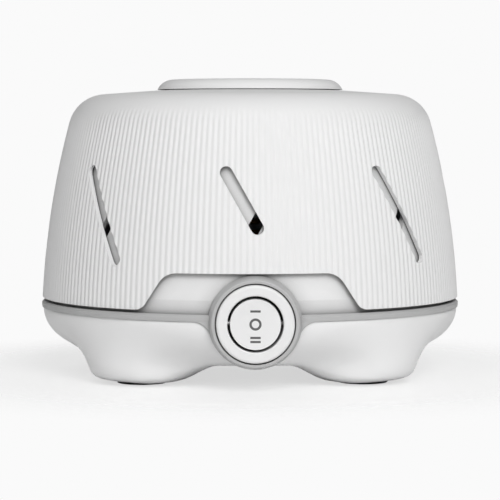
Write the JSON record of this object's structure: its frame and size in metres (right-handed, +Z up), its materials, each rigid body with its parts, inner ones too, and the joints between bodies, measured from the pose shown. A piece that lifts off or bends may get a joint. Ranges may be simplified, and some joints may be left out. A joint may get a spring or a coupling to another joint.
{
  "type": "white noise sound machine",
  "caption": "Round mechanical white noise machine: ribbed turning collar with slanted sound slots over a slotted housing, turning top cap, front rocker switch and lobed base on rubber feet.",
  "frame": {"origin": "centre of the resting plane, under the middle of the machine", "axes": "+Z up, the switch looks along -Y, +X to the right when facing the switch"},
  "size_m": [0.1464, 0.1504, 0.1024],
  "materials": {
    "white_shell": "satin",
    "white_collar": "fine ribbed satin",
    "white_housing": "satin",
    "grey_trim": "satin",
    "white_switch": "satin",
    "grey_mark": "satin",
    "black_plastic": "satin",
    "black_rubber": "matt",
    "steel": "brushed",
    "laminations": "stacked sheet",
    "zinc_plate": "plated",
    "copper_coil": "lacquered copper wire",
    "bearing_bronze": "sintered",
    "rotor_metal": "cast bars over steel",
    "nylon": "natural",
    "fan_plastic": "satin",
    "wire_cover": "flexible vinyl"
  },
  "bodies": {
    "base_unit": {"base_shell": "white_shell", "foot_pad_front_right": "black_rubber", "foot_pad_rear_right": "black_rubber", "foot_pad_rear_left": "black_rubber", "foot_pad_front_left": "black_rubber", "bottom_cover": "white_shell", "cover_screws": "zinc_plate", "case_screws": "zinc_plate", "trim_band": "grey_trim", "switch_bezel": "white_switch", "switch_body": "black_plastic", "switch_terminals": "bearing_bronze", "cord_gland": "white_shell", "motor_deck": "white_housing", "inner_housing": "white_housing", "cap_pin": "nylon", "pin_clip": "steel", "stator_stack": "laminations", "shading_rings": "copper_coil", "coil_bobbin": "nylon", "motor_coil": "copper_coil", "lower_bracket": "zinc_plate", "upper_bracket": "zinc_plate", "lower_bearing": "bearing_bronze", "upper_bearing": "bearing_bronze", "motor_spacers": "zinc_plate", "motor_bolts": "steel", "motor_grommets": "black_rubber", "lead_wires": "wire_cover", "wire_splices": "nylon"},
    "collar_ring": {"collar": "white_collar"},
    "cap_dial": {"cap": "white_shell"},
    "rocker": {"switch_rocker": "white_switch", "rocker_marks": "grey_mark", "rocker_pin": "steel"},
    "fan_rotor": {"rotor": "rotor_metal", "motor_shaft": "steel", "fan_wheel": "fan_plastic", "fan_clip": "steel"}
  },
  "joints": [
    {"name": "collar_turn", "type": "hinge", "parent": "base_unit", "child": "collar_ring", "pos_m": [0, 0, 0.0265], "axis": [0, 0, 1], "range_deg": [-14, 16]},
    {"name": "cap_turn", "type": "hinge", "parent": "base_unit", "child": "cap_dial", "pos_m": [0, 0, 0.1], "axis": [0, 0, 1], "range_deg": [-15, 15]},
    {"name": "rocker_tilt", "type": "hinge", "parent": "base_unit", "child": "rocker", "pos_m": [0, -0.0685, 0.0228], "axis": [1, 0, 0], "range_deg": [-7, 7]},
    {"name": "fan_spin", "type": "hinge", "parent": "base_unit", "child": "fan_rotor", "pos_m": [0, 0, 0.04], "axis": [0, 0, 1], "continuous": true}
  ]
}
